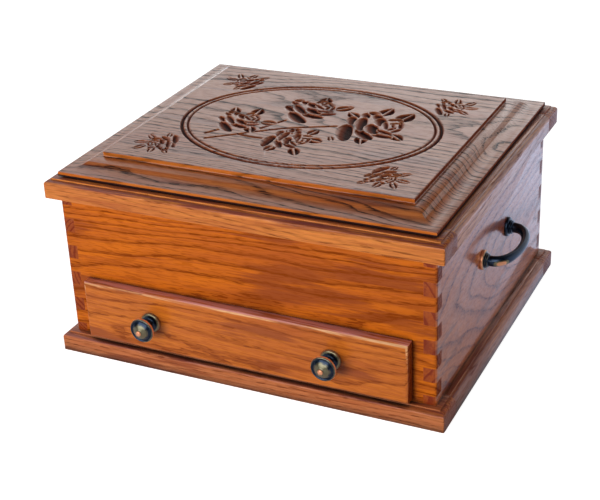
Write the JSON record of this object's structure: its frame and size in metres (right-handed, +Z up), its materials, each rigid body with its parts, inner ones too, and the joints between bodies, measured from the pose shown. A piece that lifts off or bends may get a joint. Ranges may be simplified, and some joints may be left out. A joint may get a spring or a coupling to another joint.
{
  "type": "jewelry chest",
  "caption": "Finger-jointed oak jewelry chest with a hinged raised-panel lid, an overlay drawer, a sliding tray and side handles.",
  "frame": {"origin": "middle of the plinth's underside", "axes": "+X to the right of someone facing the drawer and along the longest side, -Y out of the front, +Z up"},
  "size_m": [0.442, 0.375, 0.2035],
  "materials": {
    "case_oak": "satin varnished oak",
    "moulding_oak": "satin varnished oak",
    "panel_oak": "satin varnished oak",
    "drawer_face_oak": "satin varnished oak",
    "inner_oak": "plain sealed oak",
    "dowel_wood": "plain",
    "felt": "napped felt",
    "bronze": "dark oil-rubbed bronze with worn copper edges",
    "hinge_brass": "antique brass",
    "screw_steel": "zinc plated"
  },
  "bodies": {
    "case": {"plinth_front_rail": "moulding_oak", "plinth_back_rail": "moulding_oak", "plinth_left_rail": "moulding_oak", "plinth_right_rail": "moulding_oak", "plinth_dowels": "dowel_wood", "plinth_screws": "screw_steel", "base_panel": "inner_oak", "case_front": "case_oak", "case_back": "case_oak", "case_left_side": "case_oak", "case_right_side": "case_oak", "bottom_panel": "inner_oak", "drawer_guide_left": "inner_oak", "drawer_guide_right": "inner_oak", "divider_cleat_left": "inner_oak", "divider_cleat_right": "inner_oak", "divider_panel": "inner_oak", "compartment_felt": "felt", "tray_ledge_left": "inner_oak", "tray_ledge_right": "inner_oak", "side_handle_left": "bronze", "side_handle_right": "bronze", "handle_screws": "screw_steel", "hinge_case_leaf_left": "hinge_brass", "hinge_case_leaf_right": "hinge_brass", "hinge_pin_left": "hinge_brass", "hinge_pin_right": "hinge_brass", "hinge_screws_case": "hinge_brass"},
    "lid": {"hinge_lid_leaf_left": "hinge_brass", "hinge_lid_leaf_right": "hinge_brass", "hinge_screws_lid": "hinge_brass", "lid_front_rail": "moulding_oak", "lid_back_rail": "moulding_oak", "lid_left_rail": "moulding_oak", "lid_right_rail": "moulding_oak", "lid_dowels": "dowel_wood", "lid_panel": "panel_oak", "lid_panel_screws": "screw_steel"},
    "drawer": {"drawer_face": "drawer_face_oak", "drawer_box_front": "inner_oak", "drawer_box_back": "inner_oak", "drawer_left_side": "inner_oak", "drawer_right_side": "inner_oak", "drawer_bottom": "inner_oak", "drawer_felt": "felt", "knob_left": "bronze", "knob_right": "bronze", "knob_screws": "screw_steel"},
    "tray": {"tray_front": "inner_oak", "tray_back": "inner_oak", "tray_left_side": "inner_oak", "tray_right_side": "inner_oak", "tray_bottom": "inner_oak", "tray_long_divider": "inner_oak", "tray_cross_dividers": "inner_oak", "tray_felt": "felt"}
  },
  "joints": [
    {"name": "lid_hinge", "type": "hinge", "parent": "case", "child": "lid", "pos_m": [0, 0.167, 0.167], "axis": [-1, 0, 0], "range_deg": [0, 95]},
    {"name": "drawer_slide", "type": "slide", "parent": "case", "child": "drawer", "axis": [0, -1, 0], "range_m": [0, 0.2]},
    {"name": "tray_slide", "type": "slide", "parent": "case", "child": "tray", "axis": [0, -1, 0], "range_m": [0, 0.1522]}
  ]
}
